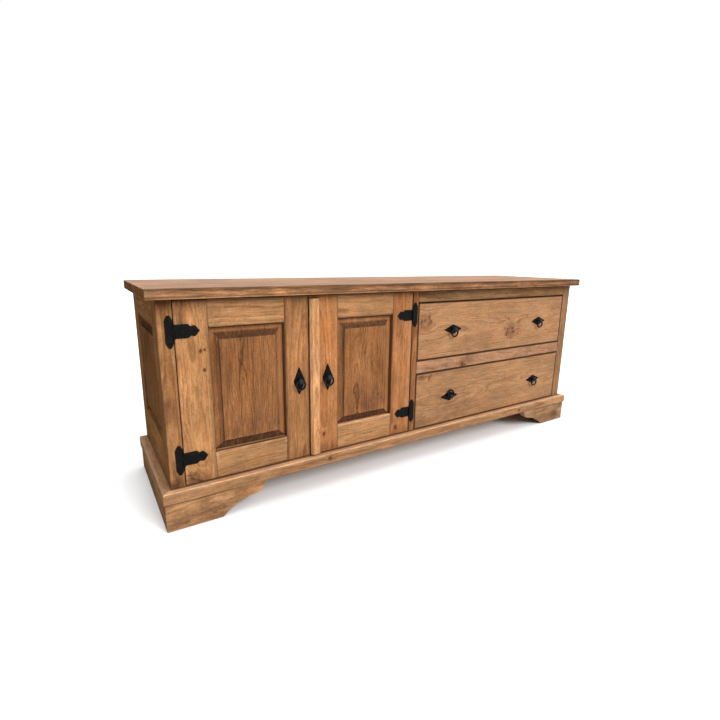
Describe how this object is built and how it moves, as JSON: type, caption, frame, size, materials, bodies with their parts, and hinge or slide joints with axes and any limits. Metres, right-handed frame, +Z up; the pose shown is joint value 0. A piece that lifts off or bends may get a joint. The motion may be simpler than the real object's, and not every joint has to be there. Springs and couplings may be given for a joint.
{
  "type": "low tv stand",
  "caption": "Low stained-pine TV stand with panelled doors on black strap hinges, flush drawers with ring pulls, an overhanging top and a bracket-foot plinth.",
  "frame": {"origin": "middle of the footprint, on the floor", "axes": "+Z up, the front with the doors and drawers faces -Y, +X to the right of somebody facing the front"},
  "size_m": [1.644, 0.444, 0.609],
  "materials": {
    "pine_top": "stained pine, satin wax, a little lighter than the front",
    "pine_frame": "honey-brown stained pine, satin wax",
    "pine_panel": "darker brown stained pine, stain gathered on the bevels",
    "pine_drawer": "honey-brown stained pine with knots, satin wax",
    "pine_plinth": "honey-brown stained pine, worn lighter on the top edge",
    "pine_inside": "plain pine, thin coat",
    "plywood": "plain plywood",
    "black_iron": "black wrought iron, satin",
    "catch_plastic": "matt brown plastic",
    "strike_steel": "zinc-plated steel"
  },
  "bodies": {
    "cabinet": {"top_board": "pine_top", "left_front_post": "pine_frame", "right_front_post": "pine_frame", "back_posts": "pine_frame", "left_side_rails": "pine_frame", "right_side_rails": "pine_frame", "left_side_panel": "pine_panel", "right_side_panel": "pine_panel", "middle_stile": "pine_frame", "divider_panel": "pine_inside", "drawer_top_rail": "pine_frame", "drawer_middle_rail": "pine_frame", "bottom_board": "pine_inside", "back_panel": "plywood", "door_stop_batten": "pine_inside", "shelf": "pine_inside", "bearer_cleats": "pine_inside", "drawer_runners": "pine_inside", "front_plinth_moulding": "pine_plinth", "side_plinth_mouldings": "pine_plinth", "left_bracket_foot": "pine_plinth", "right_bracket_foot": "pine_plinth", "plinth_boards": "pine_plinth", "hinge_frame_leaves": "black_iron", "hinge_pins": "black_iron", "hinge_frame_screws": "black_iron", "door_catches": "catch_plastic"},
    "left_door": {"left_door_hinge_stile": "pine_frame", "left_door_meeting_stile": "pine_frame", "left_door_rails": "pine_frame", "left_door_panel": "pine_panel", "left_door_hinge_straps": "black_iron", "left_door_hinge_screws": "black_iron", "left_door_pull_plate": "black_iron", "left_door_pull_stud": "black_iron", "left_door_strike": "strike_steel"},
    "right_door": {"right_door_hinge_stile": "pine_frame", "right_door_meeting_stile": "pine_frame", "right_door_rails": "pine_frame", "right_door_panel": "pine_panel", "right_door_cover_strip": "pine_frame", "right_door_hinge_straps": "black_iron", "right_door_hinge_screws": "black_iron", "right_door_pull_plate": "black_iron", "right_door_pull_stud": "black_iron", "right_door_strike": "strike_steel"},
    "upper_drawer": {"upper_drawer_front": "pine_drawer", "upper_drawer_box": "pine_inside", "upper_drawer_bottom": "plywood", "upper_drawer_pull_mounts": "black_iron"},
    "lower_drawer": {"lower_drawer_front": "pine_drawer", "lower_drawer_box": "pine_inside", "lower_drawer_bottom": "plywood", "lower_drawer_pull_mounts": "black_iron"},
    "left_door_ring": {"left_door_ring": "black_iron"},
    "right_door_ring": {"right_door_ring": "black_iron"},
    "upper_drawer_left_ring": {"upper_drawer_left_ring": "black_iron"},
    "upper_drawer_right_ring": {"upper_drawer_right_ring": "black_iron"},
    "lower_drawer_left_ring": {"lower_drawer_left_ring": "black_iron"},
    "lower_drawer_right_ring": {"lower_drawer_right_ring": "black_iron"}
  },
  "joints": [
    {"name": "left_door_hinge", "type": "hinge", "parent": "cabinet", "child": "left_door", "pos_m": [-0.763, -0.1986, 0.343], "axis": [0, 0, -1], "range_deg": [0, 110]},
    {"name": "right_door_hinge", "type": "hinge", "parent": "cabinet", "child": "right_door", "pos_m": [-0.0425, -0.1986, 0.343], "axis": [0, 0, 1], "range_deg": [0, 90]},
    {"name": "upper_drawer_slide", "type": "slide", "parent": "cabinet", "child": "upper_drawer", "axis": [0, -1, 0], "range_m": [0, 0.3]},
    {"name": "lower_drawer_slide", "type": "slide", "parent": "cabinet", "child": "lower_drawer", "axis": [0, -1, 0], "range_m": [0, 0.3]},
    {"name": "left_door_ring_swing", "type": "hinge", "parent": "left_door", "child": "left_door_ring", "pos_m": [-0.443, -0.2052, 0.3415], "axis": [-1, 0, 0], "range_deg": [-12, 192]},
    {"name": "right_door_ring_swing", "type": "hinge", "parent": "right_door", "child": "right_door_ring", "pos_m": [-0.3525, -0.2052, 0.3415], "axis": [-1, 0, 0], "range_deg": [-12, 192]},
    {"name": "upper_drawer_left_ring_swing", "type": "hinge", "parent": "upper_drawer", "child": "upper_drawer_left_ring", "pos_m": [0.141, -0.2052, 0.446], "axis": [-1, 0, 0], "range_deg": [-12, 192]},
    {"name": "upper_drawer_right_ring_swing", "type": "hinge", "parent": "upper_drawer", "child": "upper_drawer_right_ring", "pos_m": [0.608, -0.2052, 0.446], "axis": [-1, 0, 0], "range_deg": [-12, 192]},
    {"name": "lower_drawer_left_ring_swing", "type": "hinge", "parent": "lower_drawer", "child": "lower_drawer_left_ring", "pos_m": [0.141, -0.2052, 0.205], "axis": [-1, 0, 0], "range_deg": [-202, 2]},
    {"name": "lower_drawer_right_ring_swing", "type": "hinge", "parent": "lower_drawer", "child": "lower_drawer_right_ring", "pos_m": [0.608, -0.2052, 0.205], "axis": [-1, 0, 0], "range_deg": [-12, 192]}
  ]
}
